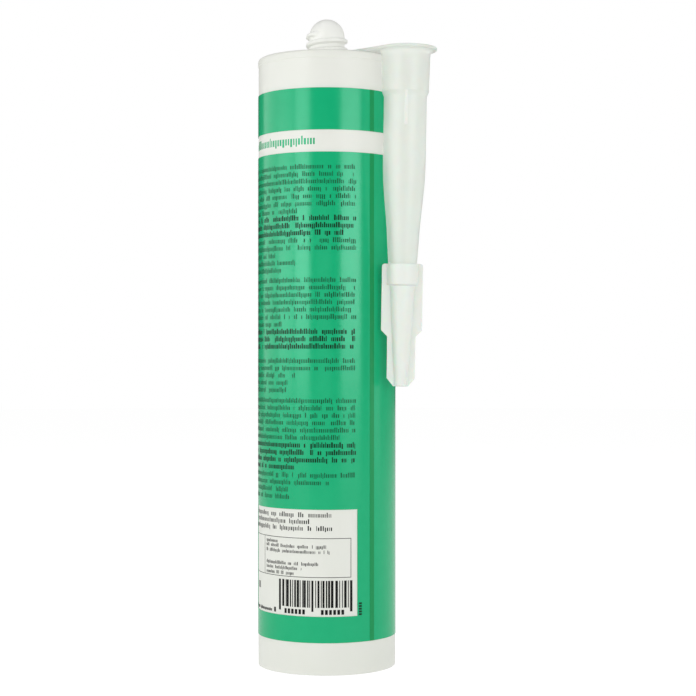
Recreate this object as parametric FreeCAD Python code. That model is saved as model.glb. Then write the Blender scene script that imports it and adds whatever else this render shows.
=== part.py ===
import FreeCAD
import Part
import math
import os

# A caulk tube: a 310 ml cartridge that stands on its open rear end. Its blind threaded neck is on top,
# and the spare nozzle hangs beside the barrel by a moulded strap and a ring that sits over the neck.
# Millimetres. Origin on the barrel's axis at the rear rim, +Z up, nozzle on the +X side.

# Barrel
BARREL_R = 24.6
BARREL_WALL = 1.3
BODY_HEIGHT = 217.5
BASE_BEVEL = 0.3
LEAD_IN = 0.25
LEAD_IN_LENGTH = 4.0
BEAD_PROUD = 0.2
BEAD_HEIGHT = 2.6
BEAD_BEVEL = 0.7
SHOULDER_WALL = 1.8
INNER_BEVEL = 0.8

# Threaded neck, closed by a dome that the user cuts off
NECK_R = 6.4
NECK_HEIGHT = 14.9
NECK_WALL = 1.3
NECK_INNER_BEVEL = 2.2
THREAD_CREST_R = 7.5
THREAD_PITCH = 3.1
THREAD_ROOT_WIDTH = 2.3
THREAD_CREST_WIDTH = 0.7
THREAD_LOW = 2.4
THREAD_TURNS = 2.16
THREAD_START_DEG = -139.4
THREAD_RAMP = 3.0
THREAD_SEAT = 0.3

# Printed colour: a field and a band of ink with the bare plastic stripe between them
PRINT_THICKNESS = 0.1
PRINT_CLEARANCE = 0.08
PRINT_LOW = 11.3
PRINT_BELOW_SHOULDER = 13.4
BAND_HEIGHT = 14.6
STRIPE_HEIGHT = 7.7
LAP_WIDTH = 1.6
LAP_DEG = -16.3
PANEL_LOW = 20.4
PANEL_HEIGHT = 37.1
PANEL_RIGHT_DEG = -29.9
PANEL_WIDTH = 48.0

# Piston and what it pushes
PISTON_RECESS = 12.0
PISTON_LENGTH = 21.0
PISTON_CLEARANCE = 0.08
PISTON_SKIRT_INSET = 0.5
PISTON_SKIRT_WALL = 1.3
PISTON_FACE_WALL = 1.6
PISTON_LIP_HEIGHT = 2.2
PISTON_LIP_RAMP = 0.9
PISTON_RIB_COUNT = 8
PISTON_RIB_DEPTH = 3.5
PISTON_RIB_WALL = 1.2
PISTON_HUB_R = 6.0

# Nozzle: flange, strap and ring are one flat plate, moulded in one with the spout
PLATE_THICKNESS = 1.0
PLATE_LIFT = 0.15
PLATE_BEVEL = 0.25
FLANGE_R = 10.8
RING_WIDTH = 1.6
RING_CLEARANCE = 0.2
STRAP_WAIST_R = 80.0
NOZZLE_GAP = 0.4
NOZZLE_LEAN_DEG = 1.15
FLARE = 1.2
COLLAR_R = 8.55
COLLAR_DRAFT = 0.35
COLLAR_LENGTH = 14.4
COLLAR_CHAMFER = 1.7
STEM_R = 7.5
STEM_END = 43.8
STEEP_SLOPE = 0.092
STEEP_END = 62.0
SPOUT_SLOPE = 0.062
SPOUT_WALL = 1.2
SOCKET_DEPTH = 14.0
SOCKET_CLEARANCE = 0.2
SOCKET_LEAD = 0.8
SOCKET_TURNS = 1.7
RIB_WIDTH = 1.15
RIB_PROUD = 0.45
RIB_END = 26.6
RIB_DEG = -55.4

# Tip of the nozzle, hidden in the cap's socket
TIP_R = 4.16
TIP_SLOPE = 0.062
TIP_LENGTH = 40.4
TIP_WALL = 0.8
TIP_BORE_R = 1.0

# Cap with two wings
CAP_START = 74.5
CAP_LENGTH = 43.0
CAP_CLEARANCE = 0.08
CAP_WALL = 0.65
CAP_COLLAR_R = 5.5
CAP_COLLAR_LENGTH = 7.3
CAP_MOUTH_DEPTH = 1.6
CAP_BEVEL = 0.25
CAP_END_BEVEL = 0.4
WING_THICKNESS = 1.2
WING_REACH = 7.2
WING_LENGTH = 23.3
WING_ROUND = 1.0
WING_STEP = 2.2
WING_LOW_REACH = 4.95
WING_END_REACH = 2.6
WING_END_CHAMFER = 2.8
WING_BEVEL = 0.2
WING_DEG = 34.6

# Gap left at the end of the piston's stroke, and how far a cutting solid runs past what it cuts
PISTON_END_GAP = 1.7
CUT_MARGIN = 1.0

# Worked out from the sizes above
BORE_R = BARREL_R - BARREL_WALL
SHOULDER_UNDER = BODY_HEIGHT - SHOULDER_WALL
OVERALL_HEIGHT = BODY_HEIGHT + NECK_HEIGHT
NECK_BORE_R = NECK_R - NECK_WALL
CAVITY_TOP = OVERALL_HEIGHT - NECK_WALL
PRINT_HIGH = BODY_HEIGHT - PRINT_BELOW_SHOULDER
BAND_LOW = PRINT_HIGH - BAND_HEIGHT
FIELD_HIGH = BAND_LOW - STRIPE_HEIGHT
PISTON_R = BORE_R - PISTON_CLEARANCE
PISTON_FRONT = PISTON_RECESS + PISTON_LENGTH
RING_HOLE_R = THREAD_CREST_R + RING_CLEARANCE
RING_R = RING_HOLE_R + RING_WIDTH
PLATE_LOW = BODY_HEIGHT + PLATE_LIFT
NOZZLE_X = BARREL_R + BEAD_PROUD + NOZZLE_GAP + COLLAR_R
SOCKET_R = THREAD_CREST_R + SOCKET_CLEARANCE
SOCKET_CREST_R = NECK_R + SOCKET_CLEARANCE
NOZZLE_END = CAP_START + TIP_LENGTH

ORIGIN = FreeCAD.Vector(0, 0, 0)
UP = FreeCAD.Vector(0, 0, 1)


def rounded_wire(corners):
    """Closed wire in the XZ plane through (r, z, rounding) corners, each rounded by a tangent arc."""
    points = [FreeCAD.Vector(r, 0, z) for r, z, rounding in corners]
    stops = []
    for i, (r, z, rounding) in enumerate(corners):
        here = points[i]
        back = (points[i - 1] - here).normalize()
        ahead = (points[(i + 1) % len(points)] - here).normalize()
        if rounding <= 0:
            stops.append((here, None, here))
            continue
        half = back.getAngle(ahead) / 2
        reach = rounding / math.tan(half)
        middle = (back + ahead).normalize()
        centre = here + middle * (rounding / math.sin(half))
        stops.append((here + back * reach, centre - middle * rounding, here + ahead * reach))
    edges = []
    for i, (start, apex, end) in enumerate(stops):
        if apex is not None:
            edges.append(Part.Arc(start, apex, end).toShape())
        following = stops[(i + 1) % len(stops)][0]
        if end.distanceToPoint(following) > 1e-6:
            edges.append(Part.LineSegment(end, following).toShape())
    return Part.Wire(edges)


def turned(corners):
    """Solid of revolution about Z of a closed outline of (r, z, rounding) corners."""
    return Part.Face(rounded_wire(corners)).revolve(ORIGIN, UP, 360)


def sector(inner_r, outer_r, low, high, start_deg, end_deg):
    """Part of a tube wall between two heights and two angles, counted anticlockwise from +X."""
    base = FreeCAD.Vector(0, 0, low)
    outer = Part.makeCylinder(outer_r, high - low, base, UP, end_deg - start_deg)
    wall = outer.cut(Part.makeCylinder(inner_r, high - low, base, UP, 360))
    wall.rotate(ORIGIN, UP, start_deg)
    return wall


def thread_ridge(root_r, crest_r, turns):
    """Right-hand helical ridge that starts on +X at Z 0, from a root radius to a crest radius.

    The trapezoid section is swept along a helix, seated a little inside the wall that it stands on.
    The crest may lie inside the root, as in a nut.
    """
    seat_r = root_r + THREAD_SEAT if crest_r < root_r else root_r - THREAD_SEAT
    helix = Part.makeHelix(THREAD_PITCH, THREAD_PITCH * turns, seat_r)
    section = Part.makePolygon([
        FreeCAD.Vector(seat_r, 0, -THREAD_ROOT_WIDTH / 2),
        FreeCAD.Vector(crest_r, 0, -THREAD_CREST_WIDTH / 2),
        FreeCAD.Vector(crest_r, 0, THREAD_CREST_WIDTH / 2),
        FreeCAD.Vector(seat_r, 0, THREAD_ROOT_WIDTH / 2),
        FreeCAD.Vector(seat_r, 0, -THREAD_ROOT_WIDTH / 2),
    ])
    return Part.Wire(helix.Edges).makePipeShell([section], True, True)


def thread_ramp(root_r, crest_r, side):
    """Wedge that slopes an end of an outward ridge at +X; side is 1 for its first end, -1 for its last."""
    inner = root_r - THREAD_SEAT
    outer = crest_r + CUT_MARGIN
    slope = side * THREAD_RAMP / (crest_r - root_r)
    outline = Part.makePolygon([
        FreeCAD.Vector(inner, (inner - root_r) * slope, 0),
        FreeCAD.Vector(outer, (outer - root_r) * slope, 0),
        FreeCAD.Vector(outer, -side * THREAD_RAMP, 0),
        FreeCAD.Vector(inner, -side * THREAD_RAMP, 0),
        FreeCAD.Vector(inner, (inner - root_r) * slope, 0),
    ])
    wedge = Part.Face(outline).extrude(FreeCAD.Vector(0, 0, THREAD_PITCH))
    wedge.translate(FreeCAD.Vector(0, 0, -THREAD_PITCH / 2))
    return wedge


def neck_thread():
    """The neck's ridge with both ends sloped, at its height on the neck; its first end is on +X."""
    first = thread_ramp(NECK_R, THREAD_CREST_R, 1)
    last = thread_ramp(NECK_R, THREAD_CREST_R, -1)
    last.rotate(ORIGIN, UP, 360 * THREAD_TURNS)
    last.translate(FreeCAD.Vector(0, 0, THREAD_PITCH * THREAD_TURNS))
    ridge = thread_ridge(NECK_R, THREAD_CREST_R, THREAD_TURNS).cut(first).cut(last)
    ridge.translate(FreeCAD.Vector(0, 0, BODY_HEIGHT + THREAD_LOW))
    return ridge


def hung(solid):
    """Carries a solid from the nozzle's own upright frame to the place where the nozzle hangs."""
    solid.rotate(ORIGIN, FreeCAD.Vector(0, 1, 0), NOZZLE_LEAN_DEG)
    solid.translate(FreeCAD.Vector(NOZZLE_X, 0, PLATE_LOW))
    return solid


def cavity():
    """The (r, z, rounding) corners inside the barrel, from the neck's dome down to the shoulder's edge."""
    return [
        (0, CAVITY_TOP, 0),
        (NECK_BORE_R - NECK_INNER_BEVEL, CAVITY_TOP, 0),
        (NECK_BORE_R, CAVITY_TOP - NECK_INNER_BEVEL, 0),
        (NECK_BORE_R, SHOULDER_UNDER, 0),
        (BORE_R - INNER_BEVEL, SHOULDER_UNDER, 0),
        (BORE_R, SHOULDER_UNDER - INNER_BEVEL, 0),
    ]


def barrel():
    """Tube, flat shoulder with its rim bead, and threaded neck with a closed dome, moulded in one."""
    body = turned([
        (BORE_R + LEAD_IN, 0, 0),
        (BARREL_R - BASE_BEVEL, 0, 0),
        (BARREL_R, BASE_BEVEL, 0),
        (BARREL_R, BODY_HEIGHT - BEAD_HEIGHT - BEAD_PROUD, 0),
        (BARREL_R + BEAD_PROUD, BODY_HEIGHT - BEAD_HEIGHT, 0),
        (BARREL_R + BEAD_PROUD, BODY_HEIGHT - BEAD_BEVEL, 0),
        (BARREL_R + BEAD_PROUD - BEAD_BEVEL, BODY_HEIGHT, 0),
        (NECK_R, BODY_HEIGHT, 0),
        (NECK_R, OVERALL_HEIGHT, NECK_R),
        (0, OVERALL_HEIGHT, 0),
    ] + cavity() + [
        (BORE_R, LEAD_IN_LENGTH, 0),
    ])
    moulding = body.fuse(neck_thread())
    moulding.rotate(ORIGIN, UP, THREAD_START_DEG)
    return moulding


def printed(low, high):
    """One field of ink round the barrel, doubled where the print laps over its own start."""
    lap_deg = math.degrees(LAP_WIDTH / BARREL_R)
    under_r = BARREL_R + PRINT_CLEARANCE
    skin_r = under_r + PRINT_THICKNESS
    skin = sector(under_r, skin_r, low, high, 0, 360)
    lap = sector(under_r, skin_r + PRINT_THICKNESS, low, high, LAP_DEG - lap_deg / 2, LAP_DEG + lap_deg / 2)
    return skin.fuse(lap)


def print_field():
    """Tall field of ink, with a window where the bare plastic shows as the panel."""
    panel_deg = math.degrees(PANEL_WIDTH / BARREL_R)
    window = sector(BARREL_R - CUT_MARGIN, BARREL_R + CUT_MARGIN, PANEL_LOW, PANEL_LOW + PANEL_HEIGHT,
                    PANEL_RIGHT_DEG - panel_deg, PANEL_RIGHT_DEG)
    return printed(PRINT_LOW, FIELD_HIGH).cut(window)


def print_band():
    """Narrow field of ink above the bare stripe."""
    return printed(BAND_LOW, PRINT_HIGH)


def piston():
    """Cup with its mouth to the rear, a sealing lip at each end, and ribs and a hub behind its face."""
    skirt_r = PISTON_R - PISTON_SKIRT_INSET
    cup_r = skirt_r - PISTON_SKIRT_WALL
    low = PISTON_RECESS
    high = PISTON_FRONT
    under = high - PISTON_FACE_WALL
    cup = turned([
        (0, high, 0),
        (PISTON_R - PISTON_LIP_RAMP / 2, high, 0),
        (PISTON_R, high - PISTON_LIP_RAMP, 0),
        (PISTON_R, high - PISTON_LIP_HEIGHT, 0),
        (skirt_r, high - PISTON_LIP_HEIGHT - PISTON_LIP_RAMP, 0),
        (skirt_r, low + PISTON_LIP_HEIGHT + PISTON_LIP_RAMP, 0),
        (PISTON_R, low + PISTON_LIP_HEIGHT, 0),
        (PISTON_R, low, 0),
        (cup_r, low, 0),
        (cup_r, under - INNER_BEVEL, 0),
        (cup_r - INNER_BEVEL, under, 0),
        (0, under, 0),
    ])
    seat = under - PISTON_RIB_DEPTH
    hub = Part.makeCylinder(PISTON_HUB_R, PISTON_RIB_DEPTH + PISTON_FACE_WALL / 2,
                            FreeCAD.Vector(0, 0, seat), UP, 360)
    hollow = Part.makeCylinder(PISTON_HUB_R - PISTON_RIB_WALL, PISTON_RIB_DEPTH,
                               FreeCAD.Vector(0, 0, seat), UP, 360)
    ribs = []
    for i in range(PISTON_RIB_COUNT):
        start = PISTON_HUB_R - PISTON_RIB_WALL / 2
        rib = Part.makeBox(cup_r + PISTON_SKIRT_WALL / 2 - start, PISTON_RIB_WALL,
                           PISTON_RIB_DEPTH + PISTON_FACE_WALL / 2,
                           FreeCAD.Vector(start, -PISTON_RIB_WALL / 2, seat))
        rib.rotate(ORIGIN, UP, 360 / PISTON_RIB_COUNT * (i + 0.5))
        ribs.append(rib)
    return cup.fuse([hub.cut(hollow)] + ribs)


def sealant():
    """The fill between the piston's face and the closed dome of the neck."""
    return turned(cavity() + [
        (BORE_R, PISTON_FRONT, 0),
        (0, PISTON_FRONT, 0),
    ])


def plate():
    """Flat plate of flange, strap and ring: two discs joined by a waist tangent to both."""
    reach_ring = STRAP_WAIST_R + RING_R
    reach_flange = STRAP_WAIST_R + FLANGE_R
    waist_x = (NOZZLE_X ** 2 + reach_ring ** 2 - reach_flange ** 2) / (2 * NOZZLE_X)
    waist_y = math.sqrt(reach_ring ** 2 - waist_x ** 2)
    waist = FreeCAD.Vector(waist_x, waist_y, 0)
    flange_centre = FreeCAD.Vector(NOZZLE_X, 0, 0)
    to_ring = (ORIGIN - waist).normalize() * STRAP_WAIST_R + waist
    to_flange = (flange_centre - waist).normalize() * STRAP_WAIST_R + waist
    lowest = waist - FreeCAD.Vector(0, STRAP_WAIST_R, 0)

    def mirrored(point):
        return FreeCAD.Vector(point.x, -point.y, point.z)

    outline = Part.Wire([
        Part.Arc(to_ring, lowest, to_flange).toShape(),
        Part.Arc(to_flange, FreeCAD.Vector(NOZZLE_X + FLANGE_R, 0, 0), mirrored(to_flange)).toShape(),
        Part.Arc(mirrored(to_flange), mirrored(lowest), mirrored(to_ring)).toShape(),
        Part.Arc(mirrored(to_ring), FreeCAD.Vector(-RING_R, 0, 0), to_ring).toShape(),
    ])
    slab = Part.Face(outline).extrude(FreeCAD.Vector(0, 0, PLATE_THICKNESS))
    rims = [edge for edge in slab.Edges if abs(edge.BoundBox.ZLength) < 1e-6]
    slab = slab.makeChamfer(PLATE_BEVEL, rims)
    slab.translate(FreeCAD.Vector(0, 0, PLATE_LOW))
    return slab.cut(Part.makeCylinder(RING_HOLE_R, PLATE_THICKNESS + 2 * CUT_MARGIN,
                                      FreeCAD.Vector(0, 0, PLATE_LOW - CUT_MARGIN), UP, 360))


def spout_radius(depth):
    """Outer radius of the spout at a depth below its plate: stem, steep cone, fine cone."""
    steep = STEEP_SLOPE * (min(max(depth, STEM_END), STEEP_END) - STEM_END)
    fine = SPOUT_SLOPE * max(depth - STEEP_END, 0)
    return STEM_R - steep - fine


def tip_radius(depth):
    """Outer radius of the tip, which the cap hides, at a depth below the plate."""
    return TIP_R - TIP_SLOPE * (depth - CAP_START)


def spout():
    """Solid spout below the plate, with a step where the cap's rim sits."""
    return turned([
        (0, 0, 0),
        (STEM_R, 0, 0),
        (STEM_R, -STEM_END, 0),
        (spout_radius(STEEP_END), -STEEP_END, 0),
        (spout_radius(CAP_START), -CAP_START, 0),
        (TIP_R, -CAP_START, 0),
        (tip_radius(NOZZLE_END), -NOZZLE_END, 0),
        (0, -NOZZLE_END, 0),
    ])


def bore():
    """Hollow of the spout: straight in the stem, one cone past the tip's step, straight at the orifice."""
    stem = STEM_R - SPOUT_WALL
    slope = (stem - TIP_R + TIP_WALL) / (CAP_START - STEM_END)
    orifice_start = STEM_END + (stem - TIP_BORE_R) / slope
    return turned([
        (0, -SOCKET_DEPTH / 2, 0),
        (stem, -SOCKET_DEPTH / 2, 0),
        (stem, -STEM_END, 0),
        (TIP_BORE_R, -orifice_start, 0),
        (TIP_BORE_R, -NOZZLE_END, 0),
        (0, -NOZZLE_END, 0),
    ])


def nozzle():
    """Spout with a threaded socket, in one with the flange, strap and ring that park it on the neck."""
    collar = turned([
        (0, PLATE_THICKNESS / 2, 0),
        (COLLAR_R + FLARE, PLATE_THICKNESS / 2, 0),
        (COLLAR_R + FLARE, 0, 0),
        (COLLAR_R, -FLARE, 0),
        (COLLAR_R - COLLAR_DRAFT, -COLLAR_LENGTH, 0),
        (STEM_R, -COLLAR_LENGTH - COLLAR_CHAMFER, 0),
        (0, -COLLAR_LENGTH - COLLAR_CHAMFER, 0),
    ])
    ribs = []
    for turn in (0, 180):
        rib = Part.makeBox(STEM_R + RIB_PROUD, RIB_WIDTH, RIB_END - COLLAR_LENGTH,
                           FreeCAD.Vector(0, -RIB_WIDTH / 2, -RIB_END))
        rib.rotate(ORIGIN, UP, RIB_DEG + turn)
        ribs.append(rib)
    moulding = hung(spout().fuse([collar] + ribs)).fuse(plate())
    socket = turned([
        (0, PLATE_THICKNESS + CUT_MARGIN, 0),
        (SOCKET_R + SOCKET_LEAD, PLATE_THICKNESS + CUT_MARGIN, 0),
        (SOCKET_R + SOCKET_LEAD, PLATE_THICKNESS, 0),
        (SOCKET_R, PLATE_THICKNESS - SOCKET_LEAD, 0),
        (SOCKET_R, -SOCKET_DEPTH, 0),
        (0, -SOCKET_DEPTH, 0),
    ])
    hollow = hung(socket.fuse(bore()))
    thread = thread_ridge(SOCKET_R, SOCKET_CREST_R, SOCKET_TURNS)
    thread.translate(FreeCAD.Vector(0, 0, THREAD_ROOT_WIDTH - SOCKET_DEPTH))
    return moulding.cut(hollow).fuse(hung(thread))


def cap():
    """Tapered cap on the spout's tip, with two flat wings to turn it by."""
    end = CAP_START + CAP_LENGTH
    wall = CAP_CLEARANCE + CAP_WALL
    collar_end = CAP_START + CAP_COLLAR_LENGTH
    end_r = tip_radius(NOZZLE_END) + wall
    tube = turned([
        (0, -CAP_START, 0),
        (CAP_COLLAR_R - CAP_BEVEL, -CAP_START, 0),
        (CAP_COLLAR_R, -CAP_START - CAP_BEVEL, 0),
        (CAP_COLLAR_R, -collar_end, 0),
        (tip_radius(collar_end) + wall, -collar_end - CAP_WALL, 0),
        (end_r, -end + CAP_END_BEVEL, 0),
        (end_r - CAP_END_BEVEL, -end, 0),
        (0, -end, 0),
    ])
    wings = Part.Face(rounded_wire([
        (WING_REACH, -CAP_START, WING_ROUND),
        (WING_REACH, -CAP_START - WING_LENGTH, 0),
        (WING_REACH - WING_STEP, -CAP_START - WING_LENGTH - WING_STEP, 0),
        (WING_LOW_REACH, -end + WING_END_CHAMFER, 0),
        (WING_END_REACH, -end, 0),
        (-WING_END_REACH, -end, 0),
        (-WING_LOW_REACH, -end + WING_END_CHAMFER, 0),
        (-WING_REACH + WING_STEP, -CAP_START - WING_LENGTH - WING_STEP, 0),
        (-WING_REACH, -CAP_START - WING_LENGTH, 0),
        (-WING_REACH, -CAP_START, WING_ROUND),
    ])).extrude(FreeCAD.Vector(0, WING_THICKNESS, 0))
    wings.translate(FreeCAD.Vector(0, -WING_THICKNESS / 2, 0))
    rims = [edge for edge in wings.Edges if edge.BoundBox.YLength < 1e-6]
    wings = wings.makeChamfer(WING_BEVEL, rims)
    mouth_r = spout_radius(CAP_START) + CAP_CLEARANCE
    mouth_end = CAP_START + CAP_MOUTH_DEPTH
    socket = turned([
        (0, CUT_MARGIN - CAP_START, 0),
        (mouth_r, CUT_MARGIN - CAP_START, 0),
        (mouth_r, -mouth_end, 0),
        (tip_radius(mouth_end) + CAP_CLEARANCE, -mouth_end, 0),
        (tip_radius(NOZZLE_END) + CAP_CLEARANCE, -NOZZLE_END - CAP_CLEARANCE, 0),
        (0, -NOZZLE_END - CAP_CLEARANCE, 0),
    ])
    shell = tube.fuse(wings).cut(socket)
    shell.rotate(ORIGIN, UP, WING_DEG)
    return hung(shell)


def write(node, shape):
    """Saves one sub-part and prints what it measures."""
    shape = shape.removeSplitter()
    box = shape.optimalBoundingBox(False)
    print(f"{node}: {len(shape.Solids)} solid, {len(shape.Faces)} faces, valid {shape.isValid()},"
          f" {shape.Volume:.1f} mm3, X {box.XMin:.2f} {box.XMax:.2f}, Y {box.YMin:.2f} {box.YMax:.2f},"
          f" Z {box.ZMin:.2f} {box.ZMax:.2f}")
    shape.exportStep(f"parts/{node}.step")


os.makedirs("parts", exist_ok=True)
write("barrel", barrel())
write("print_field", print_field())
write("print_band", print_band())
write("piston", piston())
write("sealant", sealant())
write("nozzle", nozzle())
write("nozzle_cap", cap())
print(f"piston stroke {SHOULDER_UNDER - PISTON_FRONT - PISTON_END_GAP:.2f} mm,"
      f" cap travel {NOZZLE_END - CAP_START:.2f} mm and more, nozzle axis at X {NOZZLE_X:.2f}")
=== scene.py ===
import math

import bpy
import numpy as np
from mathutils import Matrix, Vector


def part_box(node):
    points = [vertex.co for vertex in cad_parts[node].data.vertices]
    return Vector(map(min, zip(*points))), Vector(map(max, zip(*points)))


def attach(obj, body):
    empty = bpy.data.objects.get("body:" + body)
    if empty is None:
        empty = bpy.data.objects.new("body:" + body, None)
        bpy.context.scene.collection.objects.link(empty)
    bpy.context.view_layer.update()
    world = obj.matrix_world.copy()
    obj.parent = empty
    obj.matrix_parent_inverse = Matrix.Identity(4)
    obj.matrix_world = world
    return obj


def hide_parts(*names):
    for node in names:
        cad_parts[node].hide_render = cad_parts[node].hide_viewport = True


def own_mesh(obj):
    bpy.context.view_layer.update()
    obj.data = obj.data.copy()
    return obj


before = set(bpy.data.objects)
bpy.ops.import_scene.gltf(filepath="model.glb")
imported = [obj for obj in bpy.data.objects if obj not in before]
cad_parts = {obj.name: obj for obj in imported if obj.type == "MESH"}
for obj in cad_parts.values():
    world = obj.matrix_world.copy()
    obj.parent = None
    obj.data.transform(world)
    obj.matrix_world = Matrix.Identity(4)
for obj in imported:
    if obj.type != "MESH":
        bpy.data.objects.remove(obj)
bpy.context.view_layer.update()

# A caulk tube that stands on its open rear end, with the spare nozzle hung beside it by a moulded strap.
# Sizes are in millimetres and are turned into metres by MM. Heights are above the rear rim, angles are
# counted anticlockwise from +X, and the nozzle hangs on the +X side.
MM = 0.001
COLUMNS = 256

# Edges sharper than SHARP_DEG stay sharp in the shading, and a bevel rounds those sharper than BEVEL_DEG.
# A cutter reaches PAST beyond the face that it opens, a rib starts BURIED in what carries it, and a HAIR
# is too small to see.
SHARP_DEG = 32
BEVEL_DEG = 25
PAST = 1.0
BURIED = 0.5
HAIR = 0.001

# Barrel
BARREL_R = 24.6
BORE_R = 23.3
LEAD_IN = 0.25
LEAD_IN_LENGTH = 4.0
BODY_HEIGHT = 217.5
BEAD_PROUD = 0.2
BEAD_HEIGHT = 2.6
BEAD_ROUND = 1.0
BEAD_FOOT_ROUND = 0.15
BASE_ROUND = 0.3
MOUTH_ROUND = 0.1
SHOULDER_UNDER = 215.7
INNER_ROUND = 0.9

# Neck and its thread
NECK_R = 6.4
NECK_BORE_R = 5.1
NECK_BORE_ROUND = 0.4
NECK_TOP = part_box("barrel")[1].z / MM
CAVITY_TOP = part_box("sealant")[1].z / MM
CAVITY_ROUND = 2.4
NECK_FILLET = 0.8
THREAD_CREST_R = 7.5
THREAD_PITCH = 3.1
THREAD_ROOT_WIDTH = 2.3
THREAD_CREST_WIDTH = 0.7
THREAD_LOW = 219.9
THREAD_TURNS = 2.16
THREAD_START_DEG = -139.4
THREAD_FADE = 0.07
THREAD_STEP = 0.14
THREAD_WALL_SPARE = 0.1
THREAD_DOME_POWER = 8
DENSE_ABOVE_SHOULDER = 1.0
DENSE_ABOVE_THREAD = 2.0

# Ink
INK_R = 24.78
INK_THICKNESS = 0.1
INK_UNDER_R = 24.61
INK_SHARP_DEG = 40
FIELD_LOW, FIELD_HIGH = (corner.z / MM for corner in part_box("print_field"))
BAND_LOW, BAND_HIGH = (corner.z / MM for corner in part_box("print_band"))
LAP_DEG = -16.3
LAP_WIDTH = 1.6
LAP_RAMP_DEG = 0.05
LAP_SHADE_DEG = -15.8
LAP_SHADE_WIDTH = 2.0
HAIR_DEG = 0.01
PANEL_LOW = 20.4
PANEL_HIGH = 57.5
PANEL_RIGHT_DEG = -29.9
PANEL_WIDTH = 48.0

# Piston
PISTON_LOW, PISTON_HIGH = (corner.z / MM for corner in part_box("piston"))
PISTON_R = 23.22
SKIRT_INSET = 0.5
SKIRT_WALL = 1.3
SKIRT_ROUND = 0.3
FACE_WALL = 1.6
CUP_ROUND = 0.8
LIP_HEIGHT = 2.2
LIP_RAMP = 0.9
LIP_ROUND = 0.2
LIP_FOOT_ROUND = 0.1
RIB_COUNT = 8
RIB_DEPTH = 3.5
RIB_WALL = 1.2
RIB_EDGE = 0.12
RIB_END_BURIED = 0.3
HUB_R = 6.0
HUB_EDGE = 0.15
HUB_COLUMNS = 96

# Nozzle, in its own upright frame with depths below the plate's underside
NOZZLE_X = 33.75
NOZZLE_COLUMNS = 192
LEAN_DEG = 1.15
PLATE_LOW = 217.65
PLATE_THICKNESS = 1.0
PLATE_ROUND = 0.3
PLATE_ROUND_POINTS = 6
FLANGE_R = 10.8
FLANGE_POINTS = 120
RING_R = 9.3
RING_POINTS = 96
RING_HOLE_R = 7.7
RING_HOLE_EDGE = 0.25
RING_HOLE_COLUMNS = 160
WAIST_R = 80.0
WAIST_POINTS = 40
FLARE_R = 1.6
FLARE_SPARE = 0.2
COLLAR_R = 8.55
COLLAR_DRAFT = 0.35
COLLAR_LENGTH = 14.4
COLLAR_CHAMFER = 1.7
COLLAR_FOOT_ROUND = 0.5
STEM_R = 7.5
STEM_ROUND = 0.3
STEM_END = 37.6
STEM_EASE = 1.0
TAPER_RINGS = 40
STEEP_START = 50.0
STEEP_END = 62.0
STEEP_SLOPE = 0.092
SPOUT_SLOPE = 0.062
SPOUT_WALL = 1.2
SOCKET_R = 7.7
SOCKET_DEPTH = 14.0
SOCKET_LEAD = 0.8
SOCKET_MOUTH_ROUND = 0.15
SOCKET_LEAD_ROUND = 0.2
SOCKET_FLOOR_ROUND = 0.3
SOCKET_CREST = 6.6
SOCKET_TURNS = 3.2
SOCKET_THREAD_GAP = 0.6
SOCKET_STEP = 0.16
SOCKET_WALL_SPARE = 0.01
STEM_BORE_ROUND = 0.2
GRIP_WIDTH = 1.15
GRIP_PROUD = 0.45
GRIP_ROUND = 0.2
GRIP_ROOT = 1.0
GRIP_UNDER_COLLAR = 1.0
GRIP_END = 26.6
GRIP_DEG = -55.4
TIP_R = 4.16
TIP_END = 114.9
TIP_WALL = 0.8
TIP_BORE_R = 1.0
TIP_ROUND = 0.2

# Cap
CAP_START = 74.5
CAP_END = 117.5
CAP_WALL = 0.73
CAP_CLEARANCE = 0.08
CAP_COLLAR_R = 5.5
CAP_COLLAR_LENGTH = 7.3
CAP_COLLAR_ROUND = 0.3
CAP_STEP = 0.5
CAP_STEP_ROUND = 0.2
CAP_END_ROUND = 0.5
CAP_MOUTH_DEPTH = 1.6
CAP_COLUMNS = 128
WING_DEG = 34.6
WING_THICKNESS = 1.2
WING_REACH = 7.2
WING_LENGTH = 23.3
WING_STEP = 2.2
WING_LOW_REACH = 4.95
WING_END_REACH = 2.6
WING_END_CHAMFER = 2.8
WING_CORNER = 1.0
WING_CORNER_POINTS = 7
WING_EDGE = 0.25


class Socket:
    """An output of a node. Arithmetic on it, from either side, adds Math nodes."""

    def __init__(self, graph, output):
        self.graph = graph
        self.output = output

    def math(self, operation, *values):
        return self.graph.node("ShaderNodeMath", {"operation": operation}, *values)

    def __add__(self, other):
        return self.math("ADD", self, other)

    def __radd__(self, other):
        return self.math("ADD", other, self)

    def __sub__(self, other):
        return self.math("SUBTRACT", self, other)

    def __rsub__(self, other):
        return self.math("SUBTRACT", other, self)

    def __mul__(self, other):
        return self.math("MULTIPLY", self, other)

    def __rmul__(self, other):
        return self.math("MULTIPLY", other, self)

    def __lt__(self, other):
        return self.math("LESS_THAN", self, other)

    def __gt__(self, other):
        return self.math("GREATER_THAN", self, other)

    def size(self):
        return self.math("ABSOLUTE", self)

    def most(self, other):
        return self.math("MAXIMUM", self, other)

    def between(self, low, high):
        """What lies at this share of the way from low to high."""
        return low + self * (high - low)


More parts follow.
